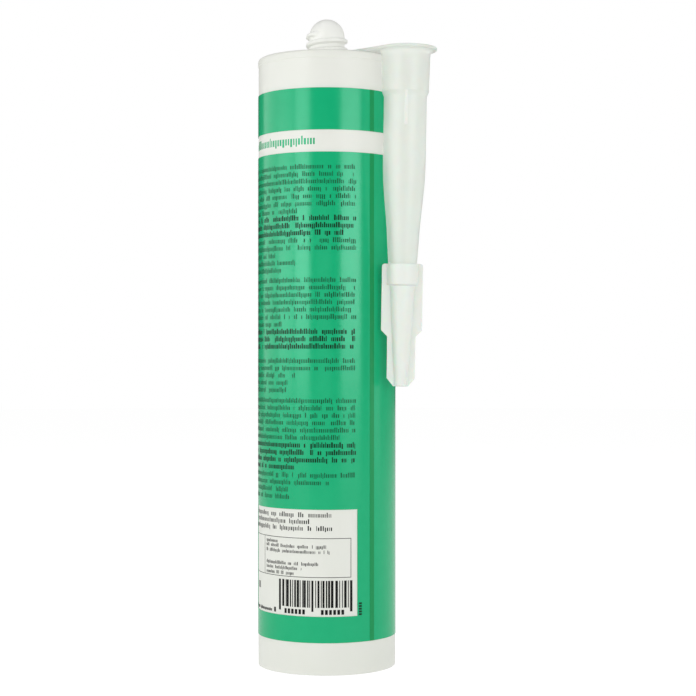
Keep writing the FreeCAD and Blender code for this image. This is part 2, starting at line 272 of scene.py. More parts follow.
class Graph:
    """The nodes of a material or of the world, written as expressions."""

    def __init__(self, owner):
        owner.use_nodes = True
        self.nodes = owner.node_tree.nodes
        self.links = owner.node_tree.links

    def feed(self, socket, value):
        """Links a Socket, or sets a plain number, vector or colour."""
        if isinstance(value, Socket):
            self.links.new(value.output, socket)
        else:
            socket.default_value = value

    def node(self, kind, settings, *values, out=0, **named):
        """Any node: its settings first, then its sockets by order or by name. None leaves one as it is."""
        made = self.nodes.new(kind)
        for key, value in settings.items():
            setattr(made, key, value)
        for i, value in enumerate(values):
            if value is not None:
                self.feed(made.inputs[i], value)
        for key, value in named.items():
            self.feed(made.inputs[key.replace("_", " ")], value)
        return Socket(self, made.outputs[out])

    def ray(self, kind):
        """1 for rays of a kind, such as Camera or Shadow, and 0 for the rest."""
        return self.node("ShaderNodeLightPath", {}, out=f"Is {kind} Ray")


class Finish(Graph):
    """A material around one Principled shader."""

    def __init__(self, name, colour, roughness, **settings):
        self.material = bpy.data.materials.new(name)
        super().__init__(self.material)
        self.shader = self.nodes["Principled BSDF"]
        self.set("Base Color", colour)
        self.set("Roughness", roughness)
        for key, value in settings.items():
            self.set(key.replace("_", " ").title().replace("Ior", "IOR"), value)

    def set(self, name, value):
        self.feed(self.shader.inputs[name], value)

    def place(self, scale=(1, 1, 1)):
        """Object coordinates in metres, stretched by a scale."""
        where = self.node("ShaderNodeTexCoord", {}, out="Object")
        return self.node("ShaderNodeMapping", {}, where, Scale=scale)

    def axis(self, letter):
        """One object coordinate in millimetres."""
        where = self.node("ShaderNodeTexCoord", {}, out="Object")
        return self.node("ShaderNodeSeparateXYZ", {}, where, out=letter) * (1 / MM)

    def bearing(self):
        """Angle round the barrel's axis in degrees."""
        turn = self.node("ShaderNodeMath", {"operation": "ARCTAN2"}, self.axis("Y"), self.axis("X"))
        return turn * math.degrees(1)

    def noise(self, scale, detail=2.0, stretch=(1, 1, 1)):
        """Noise from 0 to 1 whose grain is 1/scale metres, stretched along the object's axes."""
        return self.node("ShaderNodeTexNoise", {}, self.place(stretch), Scale=scale, Detail=detail, out="Fac")

    def blend(self, share, first, second):
        """Mix of two colours. The sockets between belong to numbers and vectors."""
        return self.node("ShaderNodeMix", {"data_type": "RGBA"}, share, None, None, None, None, None,
                         first, second, out=2)

    def bump(self, height, relief, strength):
        """Shading relief from a height between 0 and 1 that stands for millimetres."""
        bumped = self.node("ShaderNodeBump", {}, Height=height, Distance=relief * MM, Strength=strength)
        self.set("Normal", bumped)

    def grained(self, grain, smooth, rough, relief, strength):
        """Roughness that goes from smooth to rough with a grain, which is also the shading relief."""
        self.set("Roughness", grain.between(smooth, rough))
        self.bump(grain, relief, strength)

    def mixed(self, share, shader):
        """Lets another shader take this share of the surface."""
        mix = self.node("ShaderNodeMixShader", {}, share, Socket(self, self.shader.outputs[0]), shader)
        self.feed(self.nodes["Material Output"].inputs["Surface"], mix)

    def let_through(self, share):
        """Thin milky walls: this share of the light that falls on a wall goes on to what is behind it."""
        passing = self.ray("Shadow").most(self.ray("Diffuse")) * share
        self.mixed(passing, self.node("ShaderNodeBsdfTransparent", {}))


def srgb(red, green, blue):
    """Linear colour from the 0 to 255 values that a screen shows."""
    shown = np.array([red, green, blue]) / 255
    linear = np.where(shown <= 0.04045, shown / 12.92, ((shown + 0.055) / 1.055) ** 2.4)
    return (*linear, 1.0)


def barrel_plastic():
    """White polyethylene, faintly uneven along the draw, with painted light: lighter from half-way up the
    neck's fillet.
    """
    finish = Finish("barrel_plastic", srgb(238, 238, 233), 0.36, ior=1.5, subsurface_weight=0.1,
                    subsurface_scale=0.0015, subsurface_radius=(1.0, 1.0, 0.9))
    wall = finish.blend(finish.noise(120), srgb(218, 219, 213), srgb(214, 216, 208))
    # Painted light: the neck's base colour is lighter, standing in for the light that its thin wall lets
    # through.
    neck = finish.axis("Z") > BODY_HEIGHT + NECK_FILLET / 2
    finish.set("Base Color", finish.blend(neck, wall, srgb(233, 234, 229)))
    draw = finish.noise(900, 3.0, (1, 1, 0.15))
    finish.grained(draw, smooth=0.38, rough=0.5, relief=0.03, strength=0.35)
    return finish.material


def green_ink():
    """Glossy green ink over white plastic, deeper in a strip at the lap."""
    finish = Finish("green_ink", srgb(15, 163, 109), 0.22, ior=1.5, specular_tint=(0.55, 1.0, 0.85, 1.0))
    field = finish.blend(finish.noise(260, 3.0), srgb(9, 160, 106), srgb(19, 166, 112))
    half_width = math.degrees(LAP_SHADE_WIDTH / 2 / INK_R)
    lap = (finish.bearing() - LAP_SHADE_DEG).size() < half_width
    finish.set("Base Color", finish.blend(lap, field, srgb(0, 134, 72)))
    finish.set("Roughness", finish.noise(1400).between(0.17, 0.25))
    finish.bump(finish.noise(3200), relief=0.01, strength=0.3)
    return finish.material


def dark_ink(name, light, dark):
    """Small print: dark, nearly matt ink whose cover varies from dash to dash."""
    finish = Finish(name, light, 0.3, ior=1.4, specular_ior_level=0.2)
    finish.set("Base Color", finish.blend(finish.noise(700), light, dark))
    finish.set("Roughness", finish.noise(2500).between(0.34, 0.44))
    return finish.material


def nozzle_plastic():
    """Milky natural polyethylene: light passes, but blurred. The grip ribs carry a painted highlight, a
    whiter base colour.

    A point is on a rib where it is close to the ribs' common plane, which leans with the nozzle's axis,
    and lies between the collar's end and the ribs' end.
    """
    finish = Finish("nozzle_plastic", srgb(238, 244, 236), 0.4, transmission_weight=0.45, ior=1.45,
                    subsurface_weight=0.2, subsurface_scale=0.002)
    depth = PLATE_LOW - finish.axis("Z")
    beside = finish.axis("X") - NOZZLE_X + depth * math.sin(math.radians(LEAN_DEG))
    plane = math.radians(GRIP_DEG)
    offset = finish.axis("Y") * math.cos(plane) - beside * math.sin(plane)
    # Painted highlight: the grip ribs' base colour is whiter, standing in for a highlight that runs down
    # them.
    rib_painted_highlight = (offset.size() < GRIP_WIDTH / 2) * (depth > COLLAR_LENGTH) * (depth < GRIP_END)
    milk = finish.blend(finish.noise(140), srgb(224, 228, 222), srgb(220, 225, 218))
    finish.set("Base Color", finish.blend(rib_painted_highlight, milk, srgb(231, 234, 229)))
    grain = finish.noise(1500, 3.0, (1, 1, 0.3))
    finish.grained(grain, smooth=0.36, rough=0.46, relief=0.02, strength=0.3)
    finish.let_through(0.95)
    return finish.material


def cap_plastic():
    """White polyethylene with finely sanded faces."""
    finish = Finish("cap_plastic", srgb(240, 243, 237), 0.4, transmission_weight=0.12, ior=1.45,
                    subsurface_weight=0.3, subsurface_scale=0.002)
    finish.set("Base Color", finish.blend(finish.noise(200), srgb(225, 229, 223), srgb(221, 226, 219)))
    finish.grained(finish.noise(2600, 3.0), smooth=0.38, rough=0.5, relief=0.02, strength=0.4)
    finish.let_through(0.7)
    return finish.material


def piston_plastic():
    """Natural polyethylene of the piston, a shade warmer and duller than the barrel."""
    finish = Finish("piston_plastic", srgb(226, 226, 214), 0.45, subsurface_weight=0.2,
                    subsurface_scale=0.0015)
    finish.set("Base Color", finish.blend(finish.noise(150), srgb(229, 229, 218), srgb(220, 221, 208)))
    finish.grained(finish.noise(1800, 3.0), smooth=0.42, rough=0.56, relief=0.03, strength=0.4)
    return finish.material


def sealant_paste():
    """White paste with a slow ripple in its wet surface."""
    finish = Finish("sealant_paste", srgb(240, 240, 238), 0.3, subsurface_weight=0.4,
                    subsurface_scale=0.003)
    ripple = finish.noise(300, 3.0)
    finish.set("Base Color", finish.blend(ripple, srgb(243, 243, 241), srgb(234, 234, 231)))
    finish.grained(ripple, smooth=0.24, rough=0.38, relief=0.2, strength=0.4)
    return finish.material


def rounded(corners, steps=6):
    """Profile through (radius, height, rounding) corners as arrays of radii and heights.

    A rounded corner is an arc tangent to both of its sides: its centre lies on the corner's bisector at
    rounding / sin(half angle), and its points turn evenly from the first tangent point to the second.
    The first and last corners are the ends and stay sharp.
    """
    plain = np.array([corner[:2] for corner in corners], float)
    pieces = [plain[:1]]
    for i in range(1, len(corners) - 1):
        here = plain[i]
        rounding = corners[i][2]
        if rounding <= 0:
            pieces.append(plain[i:i + 1])
            continue
        back = (plain[i - 1] - here) / np.linalg.norm(plain[i - 1] - here)
        ahead = (plain[i + 1] - here) / np.linalg.norm(plain[i + 1] - here)
        half = math.acos(np.clip(back @ ahead, -1, 1)) / 2
        middle = (back + ahead) / np.linalg.norm(back + ahead)
        centre = here + middle * rounding / math.sin(half)
        start = here + back * rounding / math.tan(half) - centre
        end = here + ahead * rounding / math.tan(half) - centre
        turn = math.acos(np.clip(start @ end / rounding ** 2, -1, 1))
        t = np.linspace(0, 1, steps + 1)[:, None]
        pieces.append(centre + (np.sin((1 - t) * turn) * start + np.sin(t * turn) * end) / math.sin(turn))
    pieces.append(plain[-1:])
    return np.concatenate(pieces)


def densified(profile, low, high, step):
    """The same profile with extra points, one each step along it, between the heights low and high."""
    along = np.concatenate([[0], np.cumsum(np.linalg.norm(np.diff(profile, axis=0), axis=1))])
    even = np.arange(0, along[-1], step)
    height = np.interp(even, along, profile[:, 1])
    stops = np.union1d(along, even[(height > low) & (height < high)])
    return np.stack([np.interp(stops, along, profile[:, 0]), np.interp(stops, along, profile[:, 1])], axis=1)


def ridge(angle, height, low, start_deg, turns, rise):
    """How far a helical thread stands out of its wall at each angle and height.

    The crest climbs one pitch a turn from low at the start angle. A point's distance from the nearest
    crest, along the axis, sets its height on a trapezoid with softened flanks, and both ends fade out.
    """
    turned_by = (angle - math.radians(start_deg)) / (2 * math.pi)
    turn = turned_by + np.round((height - low) / THREAD_PITCH - turned_by)
    away = np.abs(height - low - THREAD_PITCH * turn)
    slope = (THREAD_ROOT_WIDTH - THREAD_CREST_WIDTH) / 2
    flank = np.clip((THREAD_ROOT_WIDTH / 2 - away) / slope, 0, 1)
    fade = np.clip(np.minimum(turn, turns - turn) / THREAD_FADE, 0, 1)
    return rise * flank ** 2 * (3 - 2 * flank) * fade


def new_piece(name, points, faces):
    """Object at the origin whose mesh has these points, given in millimetres."""
    mesh = bpy.data.meshes.new(name)
    mesh.from_pydata((np.asarray(points) * MM).reshape(-1, 3), [], faces)
    mesh.update()
    piece = bpy.data.objects.new(name, mesh)
    bpy.context.scene.collection.objects.link(piece)
    return piece


def smoothed(piece, angle_deg=SHARP_DEG):
    """Smooth shading, with edges sharper than an angle kept sharp."""
    piece.data.polygons.foreach_set("use_smooth", np.ones(len(piece.data.polygons), bool))
    piece.data.set_sharp_from_angle(angle=math.radians(angle_deg))
    return piece


def cells(rows, columns):
    """Number of each point in rows that close on themselves, and the number of the point beside it."""
    index = np.arange(rows * columns).reshape(rows, columns)
    return index, np.roll(index, -1, axis=1)


def revolved(name, profile, columns=COLUMNS, swell=None):
    """Closed surface of revolution: x = r cos a, y = r sin a, z = h, for each (r, h) of a profile.

    The profile runs down the outside and up the inside. An end on the axis becomes one pole point, and a
    profile with neither end on the axis closes on itself. Swell gives extra radius from angle and height.
    """
    top_pole = profile[0, 0] == 0
    low_pole = profile[-1, 0] == 0
    rings = profile[int(top_pole):len(profile) - int(low_pole)]
    angle = np.arange(columns) * 2 * math.pi / columns
    radius = np.repeat(rings[:, :1], columns, axis=1)
    height = np.repeat(rings[:, 1:], columns, axis=1)
    if swell is not None:
        radius = radius + swell(angle[None, :], height, radius)
    points = np.stack([radius * np.cos(angle), radius * np.sin(angle), height], axis=2).reshape(-1, 3)
    count = len(rings)
    index, beside = cells(count, columns)
    closed = not (top_pole or low_pole)
    below = np.roll(index, -1, axis=0)
    below_beside = np.roll(beside, -1, axis=0)
    quads = np.stack([index, below, below_beside, beside], axis=2)
    faces = quads[:count if closed else count - 1].reshape(-1, 4).tolist()
    if top_pole:
        points = np.vstack([points, [0, 0, profile[0, 1]]])
        pole = np.full(columns, len(points) - 1)
        faces += np.stack([pole, index[0], beside[0]], axis=1).tolist()
    if low_pole:
        points = np.vstack([points, [0, 0, profile[-1, 1]]])
        pole = np.full(columns, len(points) - 1)
        faces += np.stack([index[-1], pole, beside[-1]], axis=1).tolist()
    return new_piece(name, points, faces)


def prism(name, rows):
    """Closed body over a stack of outlines of equal length, with flat ends.

    Each outline runs anticlockwise for an eye beyond the first that looks towards the last.
    """
    index, beside = cells(*rows.shape[:2])
    quads = np.stack([index[:-1], index[1:], beside[1:], beside[:-1]], axis=2).reshape(-1, 4)
    return new_piece(name, rows, quads.tolist() + [index[0].tolist(), index[-1, ::-1].tolist()])


def moved(piece, turn_deg=0.0, axis="Z", shift=(0, 0, 0)):
    """Turns a piece's mesh about an axis through the origin, then shifts it by millimetres."""
    angle = math.radians(turn_deg)
    points = np.empty(len(piece.data.vertices) * 3)
    piece.data.vertices.foreach_get("co", points)
    x, y, z = points.reshape(-1, 3).T
    if axis == "Z":
        x, y = x * math.cos(angle) - y * math.sin(angle), x * math.sin(angle) + y * math.cos(angle)
    else:
        x, z = x * math.cos(angle) + z * math.sin(angle), z * math.cos(angle) - x * math.sin(angle)
    points = np.stack([x, y, z], axis=1) + np.array(shift) * MM
    piece.data.vertices.foreach_set("co", points.ravel())
    piece.data.update()
    return piece


def settled(piece):
    """Bakes a piece's modifiers into its mesh."""
    graph = bpy.context.evaluated_depsgraph_get()
    mesh = bpy.data.meshes.new_from_object(piece.evaluated_get(graph))
    piece.modifiers.clear()
    piece.data = mesh
    return piece


def combined(piece, operation, others):
    """Union with, or difference from, other closed pieces, which are used up."""
    for other in others:
        step = piece.modifiers.new(operation.lower(), "BOOLEAN")
        step.operation = operation
        step.solver = "EXACT"
        step.object = other
    settled(piece)
    for other in others:
        bpy.data.objects.remove(other)
    return piece


def finished(piece, body, material, node=None):
    """Gives a piece its material and body, and hides the CAD part that it stands for."""
    piece.data.materials.clear()
    piece.data.materials.append(material)
    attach(piece, body)
    if node:
        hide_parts(node)
    return piece


def weighted(piece):
    """Flat faces stay flat in the shading beside their rounded edges."""
    smoothed(piece)
    step = piece.modifiers.new("flat_faces", "WEIGHTED_NORMAL")
    step.keep_sharp = True
    return piece


def barrel():
    """Tube, shoulder with its rim bead, and threaded neck with a closed dome, as one revolved skin.

    The dome is a corner rounded by all but a hair of the neck's radius, so its first tangent point, that
    hair off the axis, is left out. The thread dies out with a power of the dome's radius.
    """
    bead_r = BARREL_R + BEAD_PROUD
    outline = rounded([
        (0, NECK_TOP, 0),
        (NECK_R, NECK_TOP, NECK_R - HAIR),
        (NECK_R, BODY_HEIGHT, NECK_FILLET),
        (bead_r, BODY_HEIGHT, BEAD_ROUND),
        (bead_r, BODY_HEIGHT - BEAD_HEIGHT, BEAD_FOOT_ROUND),
        (BARREL_R, BODY_HEIGHT - BEAD_HEIGHT - BEAD_PROUD, BEAD_FOOT_ROUND),
        (BARREL_R, 0, BASE_ROUND),
        (BORE_R + LEAD_IN, 0, MOUTH_ROUND),
        (BORE_R, LEAD_IN_LENGTH, 0),
        (BORE_R, SHOULDER_UNDER, INNER_ROUND),
        (NECK_BORE_R, SHOULDER_UNDER, NECK_BORE_ROUND),
        (NECK_BORE_R, CAVITY_TOP, CAVITY_ROUND),
        (0, CAVITY_TOP, 0),
    ], steps=10)
    outline = np.delete(outline, 1, axis=0)
    dense_low = BODY_HEIGHT + DENSE_ABOVE_SHOULDER
    dense_high = THREAD_LOW + THREAD_PITCH * THREAD_TURNS + DENSE_ABOVE_THREAD
    profile = densified(outline, dense_low, dense_high, THREAD_STEP)

    def thread(angle, height, radius):
        rise = ridge(angle, height, THREAD_LOW, THREAD_START_DEG, THREAD_TURNS, THREAD_CREST_R - NECK_R)
        outside = (radius > NECK_BORE_R + THREAD_WALL_SPARE) & (radius < NECK_R + THREAD_WALL_SPARE)
        return np.where(outside, rise * np.clip((radius / NECK_R) ** THREAD_DOME_POWER, 0, 1), 0)

    return smoothed(revolved("barrel_moulding", profile, swell=thread))


def inked(name, low, high, window=False):
    """A field of ink wrapped round the barrel: a sheet at the ink's radius, thicker at the lap.

    The sheet's columns include the lap's edges and, where there is a window, its two sides, so that the
    faces inside the window can be left out.
    """
    lap_half = math.degrees(LAP_WIDTH / 2 / INK_R)
    panel_left = PANEL_RIGHT_DEG - math.degrees(PANEL_WIDTH / BARREL_R)
    stops = [LAP_DEG - lap_half, LAP_DEG - lap_half + LAP_RAMP_DEG,
             LAP_DEG + lap_half - LAP_RAMP_DEG, LAP_DEG + lap_half, PANEL_RIGHT_DEG, panel_left]
    bearings = np.unique(np.concatenate([np.linspace(-180, 180, COLUMNS, endpoint=False), stops]))
    heights = np.array([low, PANEL_LOW, PANEL_HIGH, high] if window else [low, high], float)
    angle, height = np.meshgrid(np.radians(bearings), heights)
    thick = np.abs(np.degrees(angle) - LAP_DEG) < lap_half - HAIR_DEG
    radius = INK_R + np.where(thick, INK_THICKNESS, 0)
    points = np.stack([radius * np.cos(angle), radius * np.sin(angle), height], axis=2)
    index, beside = cells(*angle.shape)
    quads = np.stack([index[:-1], beside[:-1], beside[1:], index[1:]], axis=2)
    if window:
        inside = (bearings > panel_left - HAIR_DEG) & (bearings < PANEL_RIGHT_DEG - HAIR_DEG)
        quads = np.concatenate([quads[0], quads[1, ~inside], quads[2]])
    piece = new_piece(name, points, quads.reshape(-1, 4).tolist())
    wall = piece.modifiers.new("ink_thickness", "SOLIDIFY")
    wall.thickness = (INK_R - INK_UNDER_R) * MM
    wall.offset = -1
    return smoothed(settled(piece), INK_SHARP_DEG)


def sealant():
    """Fill between the piston's face and the closed dome of the neck."""
    return smoothed(revolved("sealant_fill", rounded([
        (0, CAVITY_TOP, 0),
        (NECK_BORE_R, CAVITY_TOP, CAVITY_ROUND),
        (NECK_BORE_R, SHOULDER_UNDER, NECK_BORE_ROUND),
        (BORE_R, SHOULDER_UNDER, INNER_ROUND),
        (BORE_R, PISTON_HIGH, 0),
        (0, PISTON_HIGH, 0),
    ])))


def piston():
    """Cup with a sealing lip at each end, a hub and ribs behind its face."""
    skirt_r = PISTON_R - SKIRT_INSET
    cup_r = skirt_r - SKIRT_WALL
    under = PISTON_HIGH - FACE_WALL
    cup = revolved("piston_moulding", rounded([
        (0, PISTON_HIGH, 0),
        (PISTON_R - LIP_RAMP / 2, PISTON_HIGH, LIP_ROUND),
        (PISTON_R, PISTON_HIGH - LIP_RAMP, LIP_ROUND),
        (PISTON_R, PISTON_HIGH - LIP_HEIGHT, LIP_FOOT_ROUND),
        (skirt_r, PISTON_HIGH - LIP_HEIGHT - LIP_RAMP, SKIRT_ROUND),
        (skirt_r, PISTON_LOW + LIP_HEIGHT + LIP_RAMP, SKIRT_ROUND),
        (PISTON_R, PISTON_LOW + LIP_HEIGHT, LIP_FOOT_ROUND),
        (PISTON_R, PISTON_LOW, LIP_ROUND),
        (cup_r, PISTON_LOW, LIP_ROUND),
        (cup_r, under, CUP_ROUND),
        (0, under, 0),
    ], steps=4))
    seat = under - RIB_DEPTH
    hub = revolved("hub", np.array([
        (HUB_R - RIB_WALL, under + BURIED),
        (HUB_R, under + BURIED),
        (HUB_R, seat + HUB_EDGE),
        (HUB_R - HUB_EDGE, seat),
        (HUB_R - RIB_WALL + HUB_EDGE, seat),
        (HUB_R - RIB_WALL, seat + HUB_EDGE),
    ]), HUB_COLUMNS)
    across = (HUB_R - RIB_WALL / 2, cup_r + RIB_END_BURIED)
    deep = (-RIB_WALL / 2, RIB_WALL / 2)
    ribs = []
    for i in range(RIB_COUNT):
        rib = block("rib", across, deep, (seat, under + BURIED), RIB_EDGE)
        ribs.append(moved(rib, 360 / RIB_COUNT * (i + 0.5)))
    return weighted(combined(cup, "UNION", [hub] + ribs))


def block(name, across, deep, tall, edge):
    """Straight bar between two values on each axis, with every edge rounded."""
    section = [(across[0], deep[0]), (across[1], deep[0]), (across[1], deep[1]), (across[0], deep[1])]
    rows = np.array([[(x, y, height) for x, y in section] for height in (tall[1], tall[0])])
    return bevel(prism(name, rows), edge, 2)


def bevel(piece, width, segments):
    """Rounds a closed piece's sharp edges."""
    step = piece.modifiers.new("edges", "BEVEL")
    step.width = width * MM
    step.segments = segments
    step.limit_method = "ANGLE"
    step.angle_limit = math.radians(BEVEL_DEG)
    return settled(piece)


def spout_radius(depth):
    """Outer radius of the spout below its plate: stem, a soft parabolic bend, steep cone, fine cone."""
    bend = STEEP_START - STEM_END
    in_bend = np.clip(depth - STEM_END, 0, bend)
    steep = np.clip(depth - STEEP_START, 0, STEEP_END - STEEP_START)
    fine = np.maximum(depth - STEEP_END, 0)
    return STEM_R - STEEP_SLOPE * in_bend ** 2 / (2 * bend) - STEEP_SLOPE * steep - SPOUT_SLOPE * fine


def tip_radius(depth):
    """Outer radius of the tip, which the cap covers."""
    return TIP_R - SPOUT_SLOPE * (depth - CAP_START)


def hung(piece):
    """Carries a piece from the nozzle's own frame to where the nozzle hangs."""
    return moved(piece, LEAN_DEG, "Y", (NOZZLE_X, 0, PLATE_LOW))


def plate():
    """Flange, strap and ring as one flat plate: two discs joined by a waist tangent to both.

    Each of the four arcs gives its points and its outward normals, and both rims are rounded: the outline
    moves in by r (1 - cos t) while the height moves by r sin t.
    """
    reach_ring = WAIST_R + RING_R
    reach_flange = WAIST_R + FLANGE_R
    waist_x = (NOZZLE_X ** 2 + reach_ring ** 2 - reach_flange ** 2) / (2 * NOZZLE_X)
    waist_y = math.sqrt(reach_ring ** 2 - waist_x ** 2)
    to_ring = math.atan2(-waist_y, -waist_x)
    to_flange = math.atan2(-waist_y, NOZZLE_X - waist_x)
    flange_turn = math.atan2(waist_y, waist_x - NOZZLE_X)
    ring_turn = math.atan2(waist_y, waist_x)
    arcs = [
        (0, 0, RING_R, ring_turn, 2 * math.pi - ring_turn, RING_POINTS, 1),
        (waist_x, -waist_y, WAIST_R, -to_ring, -to_flange, WAIST_POINTS, -1),
        (NOZZLE_X, 0, FLANGE_R, -flange_turn, flange_turn, FLANGE_POINTS, 1),
        (waist_x, waist_y, WAIST_R, to_flange, to_ring, WAIST_POINTS, -1),
    ]
    outline = []
    outward = []
    for x, y, radius, start, end, points, side in arcs:
        angle = np.linspace(start, end, points, endpoint=False)
        spokes = np.stack([np.cos(angle), np.sin(angle)], axis=1)
        outline.append(np.array([x, y]) + radius * spokes)
        outward.append(side * spokes)
    turn = np.linspace(0, math.pi / 2, PLATE_ROUND_POINTS)
    inset = np.concatenate([1 - np.sin(turn), 1 - np.cos(turn)]) * PLATE_ROUND
    high_edge = PLATE_LOW + PLATE_THICKNESS - PLATE_ROUND * (1 - np.cos(turn))
    low_edge = PLATE_LOW + PLATE_ROUND * (1 - np.sin(turn))
    heights = np.concatenate([high_edge, low_edge])
    rim = np.concatenate(outline)
    inward = np.concatenate(outward) * inset[:, None, None]
    rows = np.concatenate([rim - inward, np.repeat(heights[:, None, None], len(rim), axis=1)], axis=2)
    return prism("plate", rows)


def nozzle_outside():
    """Flared collar, stem, taper and tip as one revolved solid that starts inside the plate."""
    flare_r = COLLAR_R + FLARE_R + FLARE_SPARE
    collar = rounded([
        (0, PLATE_THICKNESS / 2, 0),
        (flare_r, PLATE_THICKNESS / 2, 0),
        (flare_r, 0, 0),
        (COLLAR_R, 0, FLARE_R),
        (COLLAR_R - COLLAR_DRAFT, -COLLAR_LENGTH, COLLAR_FOOT_ROUND),
        (STEM_R, -COLLAR_LENGTH - COLLAR_CHAMFER, STEM_ROUND),
        (STEM_R, STEM_EASE - STEM_END, 0),
    ])
    depth = np.linspace(STEM_END, CAP_START, TAPER_RINGS)
    taper = np.stack([spout_radius(depth), -depth], axis=1)
    tip = rounded([
        (taper[-1, 0], -CAP_START, 0),
        (tip_radius(CAP_START), -CAP_START, 0),
        (tip_radius(TIP_END), -TIP_END, TIP_ROUND),
        (0, -TIP_END, 0),
    ])
    return revolved("nozzle_moulding", np.vstack([collar, taper, tip[1:]]), NOZZLE_COLUMNS)


def grip(turn_deg):
    """Upright rib at a bearing, from inside the stem's wall and under the collar to a little proud of it."""
    rib = block("grip", (GRIP_ROOT, STEM_R + GRIP_PROUD), (-GRIP_WIDTH / 2, GRIP_WIDTH / 2),
                (-GRIP_END, GRIP_UNDER_COLLAR - COLLAR_LENGTH), GRIP_ROUND)
    return moved(rib, turn_deg)


def nozzle_hollow():
    """What is cut out of the nozzle: threaded socket, stem's bore, and a taper down to the orifice.

    The bore's taper runs along the straight line to the tip's wall, and stops where it is as narrow as the
    orifice.
    """
    lead_r = SOCKET_R + SOCKET_LEAD
    stem_bore = STEM_R - SPOUT_WALL
    slope = (stem_bore - TIP_R + TIP_WALL) / (CAP_START - STEM_END)
    orifice = STEM_END + (stem_bore - TIP_BORE_R) / slope
    profile = densified(rounded([
        (0, PLATE_THICKNESS + PAST, 0),
        (lead_r, PLATE_THICKNESS + PAST, 0),
        (lead_r, PLATE_THICKNESS, SOCKET_MOUTH_ROUND),
        (SOCKET_R, PLATE_THICKNESS - SOCKET_LEAD, SOCKET_LEAD_ROUND),
        (SOCKET_R, -SOCKET_DEPTH, SOCKET_FLOOR_ROUND),
        (stem_bore, -SOCKET_DEPTH, STEM_BORE_ROUND),
        (stem_bore, -STEM_END, 0),
        (TIP_BORE_R, -orifice, 0),
        (TIP_BORE_R, -TIP_END - PAST, 0),
        (0, -TIP_END - PAST, 0),
    ]), -SOCKET_DEPTH, PLATE_THICKNESS, SOCKET_STEP)
    thread_low = THREAD_ROOT_WIDTH / 2 + SOCKET_THREAD_GAP - SOCKET_DEPTH

    def thread(angle, height, radius):
        rise = ridge(angle, height, thread_low, 0, SOCKET_TURNS, SOCKET_R - SOCKET_CREST)
        return np.where(np.abs(radius - SOCKET_R) < SOCKET_WALL_SPARE, -rise, 0)

    return revolved("hollow", profile, NOZZLE_COLUMNS, thread)


def ring_hole():
    """What is cut out of the ring, with a chamfer at each face."""
    plate_high = PLATE_LOW + PLATE_THICKNESS
    wide = RING_HOLE_R + RING_HOLE_EDGE
    return revolved("ring_hole", np.array([
        (0, plate_high + PAST),
        (wide, plate_high + PAST),
        (wide, plate_high),
        (RING_HOLE_R, plate_high - RING_HOLE_EDGE),
        (RING_HOLE_R, PLATE_LOW + RING_HOLE_EDGE),
        (wide, PLATE_LOW),
        (wide, PLATE_LOW - PAST),
        (0, PLATE_LOW - PAST),
    ]), RING_HOLE_COLUMNS)


def nozzle():
    """Spout, grip ribs and plate joined, then hollowed by the socket, the bore and the ring's hole."""
    body = combined(nozzle_outside(), "UNION", [grip(GRIP_DEG), grip(GRIP_DEG + 180)])
    body = combined(hung(body), "UNION", [plate()])
    return weighted(combined(body, "DIFFERENCE", [hung(nozzle_hollow()), ring_hole()]))


def cap_tube():
    """Collar and tapered tube of the cap as one revolved solid."""
    collar_end = CAP_START + CAP_COLLAR_LENGTH
    return revolved("cap_moulding", rounded([
        (0, -CAP_START, 0),
        (CAP_COLLAR_R, -CAP_START, CAP_COLLAR_ROUND),
        (CAP_COLLAR_R, -collar_end, CAP_COLLAR_ROUND),
        (tip_radius(collar_end) + CAP_WALL, -collar_end - CAP_STEP, CAP_STEP_ROUND),
        (tip_radius(TIP_END) + CAP_WALL, -CAP_END, CAP_END_ROUND),
        (0, -CAP_END, 0),
    ], steps=5), CAP_COLUMNS)


def wings():
    """Two flat wings as one upright slab, whose right half is mirrored about the cap's axis.

    A wing's upper corner is a quarter turn. Below it the edge steps in, tapers and ends in a chamfer.
    """
    shoulder = CAP_START + WING_LENGTH
    turn = np.linspace(0, math.pi / 2, WING_CORNER_POINTS)
    corner = np.stack([WING_REACH - WING_CORNER + WING_CORNER * np.cos(turn),
                       -CAP_START - WING_CORNER + WING_CORNER * np.sin(turn)], axis=1)[::-1]
    right = np.vstack([corner, [
        (WING_REACH, -shoulder),
        (WING_REACH - WING_STEP, -shoulder - WING_STEP),
        (WING_LOW_REACH, WING_END_CHAMFER - CAP_END),
        (WING_END_REACH, -CAP_END),
    ]])
    outline = np.vstack([right, (right * (-1, 1))[::-1]])
    rows = np.stack([np.insert(outline, 1, y, axis=1) for y in (WING_THICKNESS / 2, -WING_THICKNESS / 2)])
    return bevel(prism("wings", rows), WING_EDGE, 3)


def cap_hollow():
    """What is cut out of the cap: a mouth for the spout's end, then a taper that clears the tip."""
    mouth_r = spout_radius(CAP_START) + CAP_CLEARANCE
    mouth_end = CAP_START + CAP_MOUTH_DEPTH
    return revolved("hollow", np.array([
        (0, PAST - CAP_START),
        (mouth_r, PAST - CAP_START),
        (mouth_r, -mouth_end),
        (tip_radius(mouth_end) + CAP_CLEARANCE, -mouth_end),
        (tip_radius(TIP_END) + CAP_CLEARANCE, -TIP_END - CAP_CLEARANCE),
        (0, -TIP_END - CAP_CLEARANCE),
    ]), CAP_COLUMNS)


def cap():
    """Tapered tube with two flat wings, hollowed to fit the spout's tip."""
    body = combined(combined(cap_tube(), "UNION", [wings()]), "DIFFERENCE", [cap_hollow()])
    return weighted(hung(moved(body, WING_DEG)))


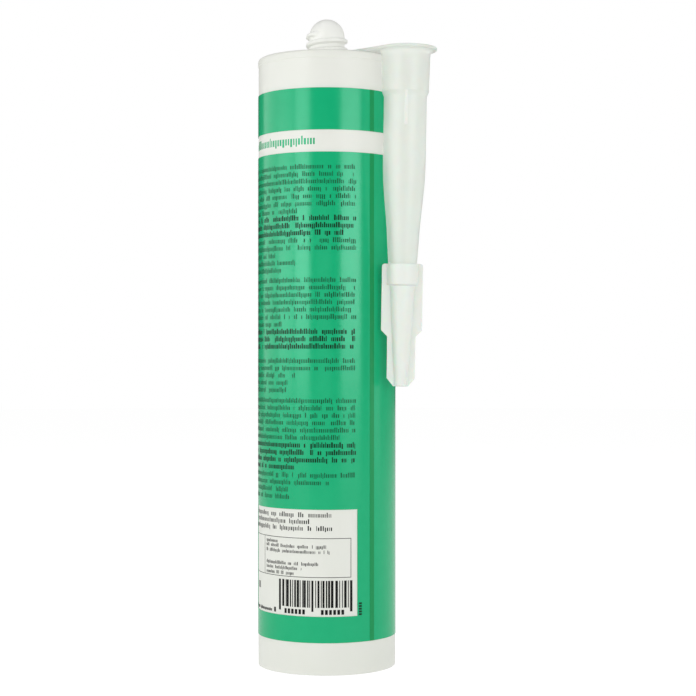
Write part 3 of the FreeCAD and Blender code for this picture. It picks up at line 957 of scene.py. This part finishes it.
# Mock print. Places across are millimetres round the barrel, counted to the left from the panel's right
# edge. A style holds the height of a low bar, the mean width of a bar, the gap after it, and how many
# places go to a word. Widths spread about the mean, no bar with its gap takes less than NARROW of it, and
# some bars are TALL or HANGING by a share of the low bar's height.
FINE = (1.25, 0.4, 0.3, 12)
BOLD = (1.35, 0.52, 0.24, 12)
MEDIUM = (1.2, 0.4, 0.36, 13)
SMALL = (0.85, 0.28, 0.22, 13)
FOOT = (0.85, 0.42, 0.14, 12)
LARGE = (2.4, 1.0, 0.7, 99)
WIDE = (2.2, 0.75, 0.45, 11)
WIDTH_SPREAD = (0.55, 1.2)
NARROW = 0.6
TALL = 1.4
TALL_SHARE = 0.28
HANGING = 0.3
HANGING_FROM = 0.9
PRINT_PROUD = 0.02
PRINT_SUNK = 0.01

# Each paragraph has the height of its first line, whether it is bold, and how far the end of each line
# stays short of the right margin. Lines that run to the margin end raggedly. A line's base lies
# LINE_DROP below its height.
LINE_PITCH = 2.56
LINE_DROP = 0.6
RAGGED = (0.2, 0.9)
PARAGRAPHS = [
    (176.5, False, [0, 0, 0, 0, 0, 0, 21]),
    (158.6, True, [0, 0, 5]),
    (150.9, False, [0, 0, 31, 22, 28]),
    (137.1, False, [0, 0, 0, 0, 0, 0, 28]),
    (119.1, True, [0, 0, 0]),
    (109.0, False, [0, 0, 22, 25, 26]),
    (95.1, False, [0, 0, 0, 0, 0, 6]),
    (79.6, True, [0, 0, 0, 22]),
    (69.2, False, [0, 10, 25, 24]),
]

# Lines on the panel and in its frame have a height and a right end. Loose lines have a left end, a right
# end, a base height and a style.
PANEL_LINES = [(55.4, 9), (53.1, 17), (50.75, 9)]
FRAME_RIGHT = 2.3
FRAME_DIVIDER = 37.8
FRAME_LOW = 33.9
FRAME_HIGH = 47.6
FRAME_LINE = 0.2
FRAMED_LINES = [(45.9, 30), (44.4, 11), (42.6, 10), (38.4, 14), (36.75, 20), (35.0, 23)]
FRAMED_DROP = 0.4
FRAME_MARGIN = 1.2
LOOSE_LINES = [(PANEL_WIDTH, 33.0, 21.2, FOOT), (PANEL_WIDTH - 3.0, 39.5, 28.3, LARGE)]
STRIPE_LINE = (PANEL_WIDTH, 15.1, 184.4, WIDE)

# Upright bars, the blocks below them, and a short column of dashes on the green beside the panel
BARS_RIGHT = 1.9
BARS_LEFT = 29.3
BARS_LOW = 23.5
BARS_HIGH = 32.9
GUARD_LOW = 22.1
BAR_COUNT = 27
BAR_WIDEST = 4
BAR_SPREAD = 0.06
BLOCK_LOW = 21.1
BLOCK_HIGH = 22.8
BLOCK_WIDTH = 0.95
BLOCK_PITCH = 1.43
BLOCK_GROUPS = [(31.9, 1), (26.8, 6), (13.0, 6)]
SIDE_LEFT = -0.5
SIDE_RIGHT = -1.7
SIDE_LOW = 20.6
SIDE_COUNT = 5
SIDE_PITCH = 0.95
SIDE_DASH = 0.65


def dashes(name, bars, radius, segments):
    """Small closed bars of ink wrapped on the barrel, from arrays of left, right, low and high edges.

    The angle of a place is that of the panel's right edge less the arc length over the radius. Each bar
    has a rectangular section, swept through its segments, with a face at each end.
    """
    left, right, low, high = bars
    share = np.linspace(0, 1, segments + 1)
    angle = math.radians(PANEL_RIGHT_DEG) - (left[:, None] + (right - left)[:, None] * share) / BARREL_R
    section_r = radius + np.array([-PRINT_SUNK, PRINT_PROUD, PRINT_PROUD, -PRINT_SUNK])
    section_z = np.stack([low, low, high, high], axis=1)
    x = np.cos(angle)[:, :, None] * section_r
    y = np.sin(angle)[:, :, None] * section_r
    z = np.repeat(section_z[:, None, :], segments + 1, axis=1)
    points = np.stack([x, y, z], axis=3).reshape(-1, 3)
    corners = len(section_r)
    around = np.arange(corners)
    following = (around + 1) % corners
    first = np.arange(len(left))[:, None] * corners * (segments + 1) + around
    start = first[:, None, :] + np.arange(segments)[:, None] * corners
    beside = start[:, :, following]
    sides = np.stack([start, start + corners, beside + corners, beside], axis=3).reshape(-1, 4)
    last = first[:, ::-1] + corners * segments
    return new_piece(name, points, np.vstack([sides, first, last]).tolist())


def written(rng, left, right, base, style):
    """One line of mock print: bars as wide as letters, with tall and hanging ones, broken into words.

    Every bar follows the last after a gap, and about one place in a word's number is left empty, with the
    place after it, as a space. The arrays are left, right, low and high edges.
    """
    x_height, width, gap, word = style
    count = int((left - right) / (NARROW * width)) + 2
    widths = width * rng.uniform(*WIDTH_SPREAD, count)
    starts = left - np.concatenate([[0], np.cumsum(widths + gap)[:-1]])
    spaces = rng.uniform(size=count) < 1 / word
    spaces[1:] |= spaces[:-1]
    kind = rng.uniform(size=count)
    high = base + x_height * np.where(kind < TALL_SHARE, TALL, 1.0)
    low = base - x_height * np.where(kind > HANGING_FROM, HANGING, 0.0)
    keep = ~spaces & (starts - widths > right) & (starts > right)
    return np.stack([starts, starts - widths, low, high])[:, keep]


def edges(left, right, low, high):
    """Edges of several bars, where a single number is the same edge of them all."""
    return np.stack(np.broadcast_arrays(left, right, low, high))


def paragraphs(rng):
    """The fine lines and the bold lines on the green."""
    fine = []
    bold = []
    for top, heavy, shorts in PARAGRAPHS:
        for i, short in enumerate(shorts):
            right = short if short else rng.uniform(*RAGGED)
            base = top - i * LINE_PITCH - LINE_DROP
            lines, style = (bold, BOLD) if heavy else (fine, FINE)
            lines.append(written(rng, PANEL_WIDTH, right, base, style))
    return fine, bold


def panel_lines(rng):
    """The lines on the panel: three across it, those in the frame, and two loose ones."""
    across = [written(rng, PANEL_WIDTH, right, height - LINE_DROP, MEDIUM) for height, right in PANEL_LINES]
    framed_left = FRAME_DIVIDER - FRAME_MARGIN
    framed = [written(rng, framed_left, right, height - FRAMED_DROP, SMALL) for height, right in FRAMED_LINES]
    return across + framed + [written(rng, *line) for line in LOOSE_LINES]


def upright_bars(rng):
    """Bars and gaps of random whole widths, scaled to fit. The first, middle and last bars reach lower."""
    widths = rng.integers(1, BAR_WIDEST + 1, BAR_COUNT * 2 - 1).astype(float)
    stops = np.concatenate([[0], np.cumsum(widths)]) / widths.sum() * (BARS_LEFT - BARS_RIGHT)
    guard = np.isin(np.arange(BAR_COUNT), [0, BAR_COUNT // 2, BAR_COUNT - 1])
    return edges(BARS_LEFT - stops[0::2] + BAR_SPREAD, BARS_LEFT - stops[1::2] - BAR_SPREAD,
                 np.where(guard, GUARD_LOW, BARS_LOW), BARS_HIGH)


def frame_lines():
    """The panel's frame: its top and bottom, its right side and its divider."""
    low = FRAME_LOW + FRAME_LINE
    high = FRAME_HIGH - FRAME_LINE
    return np.array([
        (PANEL_WIDTH, FRAME_RIGHT, high, FRAME_HIGH),
        (PANEL_WIDTH, FRAME_RIGHT, FRAME_LOW, low),
        (FRAME_RIGHT + FRAME_LINE, FRAME_RIGHT, low, high),
        (FRAME_DIVIDER + FRAME_LINE, FRAME_DIVIDER, low, high),
    ]).T


def small_print():
    """All the mock print: fine and bold on the green, the panel's lines and frame, and the stripe's line."""
    rng = np.random.default_rng(7)
    fine, bold = paragraphs(rng)
    dark = panel_lines(rng)
    blocks = np.concatenate([left - np.arange(count) * BLOCK_PITCH for left, count in BLOCK_GROUPS])
    dark.append(edges(blocks, blocks - BLOCK_WIDTH, BLOCK_LOW, BLOCK_HIGH))
    dark.append(upright_bars(rng))
    side = SIDE_LOW + np.arange(SIDE_COUNT) * SIDE_PITCH
    bold.append(edges(SIDE_LEFT, SIDE_RIGHT, side, side + SIDE_DASH))
    return {
        "fine_print": dashes("fine_print", np.hstack(fine), INK_R, 2),
        "bold_print": dashes("bold_print", np.hstack(bold), INK_R, 2),
        "panel_print": dashes("panel_print", np.hstack(dark), BARREL_R, 2),
        "panel_frame": dashes("panel_frame", frame_lines(), BARREL_R, 64),
        "stripe_print": dashes("stripe_print", written(rng, *STRIPE_LINE), BARREL_R, 4),
    }


# Camera, from the photograph's perspective
CAMERA_BEARING_DEG = -55.4
CAMERA_DISTANCE = 613.73
CAMERA_HEIGHT = 110.98
CAMERA_PITCH_DEG = 0.256
CAMERA_YAW_DEG = 0.7135
CAMERA_LENS = 87.86
CAMERA_NEAR = 10.0
SENSOR = 36.0

# Studio. A softbox has a bearing counted to the right of the camera, then its distance, width, low edge
# and high edge in metres, its radiance, and whether it is mirrored in the tube. A box that isn't mirrored
# only fills shadows. A lamp's energy is its radiance times its area times LAMP_ENERGY.
SOFTBOXES = [
    ("right_front", 40, 0.9, 0.55, 0.07, 0.48, 2.6, True),
    ("right_core", 40, 0.88, 0.53, 0.13, 0.28, 2.2, True),
    ("left_front", -41, 0.9, 0.41, 0.07, 0.48, 2.5, True),
    ("left_core", -41, 0.88, 0.39, 0.13, 0.28, 2.5, True),
    ("left_side", -71, 0.88, 0.46, 0.08, 0.3, 1.8, True),
    ("left_broad", -93, 0.9, 1.3, 0.07, 0.48, 1.25, True),
    ("right_side", 86, 0.88, 0.38, 0.02, 0.36, 0.9, True),
    ("front_card", -5, 1.2, 0.5, 0.05, 0.29, 0.6, True),
    ("right_back", 116, 0.9, 0.9, 0.07, 0.6, 1.0, False),
]
OVERHEAD_HEIGHT = 1.2
OVERHEAD_WIDTH = 1.0
OVERHEAD_RADIANCE = 1.0
LAMP_ENERGY = 4

# Strengths of the surround, beside 1 where it is seen. FLOOR_GLOWING is the share of the floor's light
# that is its own glow where it is seen, and FLOOR_BOUNCED is what of that share stays in other rays.
SURROUND_FILL = 0.32
SURROUND_MIRRORED = 0.05
FLOOR_GLOW = 1.12
FLOOR_GLOWING = 0.85
FLOOR_BOUNCED = 0.38
FLOOR_REACH = 3000.0
FLOOR_CORNERS = 96


def outward(bearing_deg):
    """Level direction from the barrel's axis at a bearing."""
    bearing = math.radians(bearing_deg)
    return Vector((math.cos(bearing), math.sin(bearing), 0))


def placed(name, data, place, look):
    """Lamp or camera at a place, that faces along a direction."""
    made = bpy.data.objects.new(name, data)
    made.location = place
    made.rotation_mode = "QUATERNION"
    made.rotation_quaternion = look.to_track_quat("-Z", "Y")
    bpy.context.scene.collection.objects.link(made)
    return made


def camera():
    """Camera at the photograph's place: it looks at the barrel's axis, turned a little right and up."""
    pitch = math.radians(CAMERA_PITCH_DEG)
    yaw = math.radians(CAMERA_YAW_DEG)
    away = outward(CAMERA_BEARING_DEG)
    level = outward(CAMERA_BEARING_DEG + 90) * math.sin(yaw) - away * math.cos(yaw)
    data = bpy.data.cameras.new("camera")
    data.lens = CAMERA_LENS
    data.sensor_width = SENSOR
    data.clip_start = CAMERA_NEAR * MM
    place = (away * CAMERA_DISTANCE + Vector((0, 0, CAMERA_HEIGHT))) * MM
    look = level * math.cos(pitch) + Vector((0, 0, math.sin(pitch)))
    bpy.context.scene.camera = placed("camera", data, place, look)


def softbox(name, bearing_deg, distance, width, low, high, radiance, mirrored):
    """Upright softbox that faces the barrel."""
    data = bpy.data.lights.new(name, "AREA")
    data.shape = "RECTANGLE"
    data.size = width
    data.size_y = high - low
    data.energy = radiance * LAMP_ENERGY * width * (high - low)
    away = outward(CAMERA_BEARING_DEG + bearing_deg)
    lamp = placed(name, data, away * distance + Vector((0, 0, (low + high) / 2)), -away)
    lamp.visible_glossy = mirrored


def overhead():
    """Square softbox above the tube, facing down."""
    data = bpy.data.lights.new("overhead", "AREA")
    data.size = OVERHEAD_WIDTH
    data.energy = OVERHEAD_RADIANCE * LAMP_ENERGY * OVERHEAD_WIDTH ** 2
    placed("overhead", data, (0, 0, OVERHEAD_HEIGHT), Vector((0, 0, -1)))


def surround():
    """White world: bright where it is seen, weaker as fill, and weaker still where it is mirrored."""
    world = bpy.data.worlds.new("surround")
    bpy.context.scene.world = world
    graph = Graph(world)
    seen = graph.ray("Camera").most(graph.ray("Transmission"))
    lit = graph.ray("Glossy").between(SURROUND_FILL, SURROUND_MIRRORED)
    backdrop = graph.nodes["Background"]
    graph.feed(backdrop.inputs["Color"], (1, 1, 1, 1))
    graph.feed(backdrop.inputs["Strength"], seen + (1 - seen) * lit)


def floor():
    """White floor, a flat disc that glows where it is seen, and less in what it lights or is mirrored in."""
    finish = Finish("floor_white", srgb(245, 245, 243), 0.8)
    seen = finish.ray("Camera").most(finish.ray("Transmission"))
    bounced = finish.ray("Glossy").most(finish.ray("Diffuse")) * FLOOR_BOUNCED
    glow = finish.node("ShaderNodeEmission", {}, (1, 1, 1, 1), FLOOR_GLOW)
    finish.mixed(seen.most(bounced) * FLOOR_GLOWING, glow)
    angle = np.arange(FLOOR_CORNERS) * 2 * math.pi / FLOOR_CORNERS
    rim = np.stack([FLOOR_REACH * np.cos(angle), FLOOR_REACH * np.sin(angle), 0 * angle], axis=1)
    ground = new_piece("floor", rim, [list(range(FLOOR_CORNERS))])
    ground.data.materials.append(finish.material)


def studio():
    """White floor and surround, with softboxes whose reflections run down the barrel."""
    surround()
    floor()
    for box in SOFTBOXES:
        softbox(*box)
    overhead()


plastic = barrel_plastic()
ink = green_ink()
finished(barrel(), "cartridge", plastic, "barrel")
field = inked("ink_field", FIELD_LOW, FIELD_HIGH, window=True)
finished(field, "cartridge", ink, "print_field")
finished(inked("ink_band", BAND_LOW, BAND_HIGH), "cartridge", ink, "print_band")
finished(piston(), "plunger", piston_plastic(), "piston")
fill = finished(sealant(), "cartridge", sealant_paste(), "sealant")
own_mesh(fill)
finished(nozzle(), "spout", nozzle_plastic(), "nozzle")
finished(cap(), "tip_cap", cap_plastic(), "nozzle_cap")
INKS = {
    "fine_print": dark_ink("fine_ink", srgb(6, 92, 58), srgb(3, 78, 48)),
    "bold_print": dark_ink("bold_ink", srgb(2, 52, 32), srgb(1, 42, 25)),
    "panel_print": dark_ink("black_ink", srgb(18, 19, 18), srgb(9, 10, 9)),
    "panel_frame": dark_ink("line_ink", srgb(50, 54, 50), srgb(36, 40, 36)),
    "stripe_print": ink,
}
for key, piece in small_print().items():
    finished(piece, "cartridge", INKS[key])

camera()
studio()
bpy.context.scene.view_settings.view_transform = "Standard"
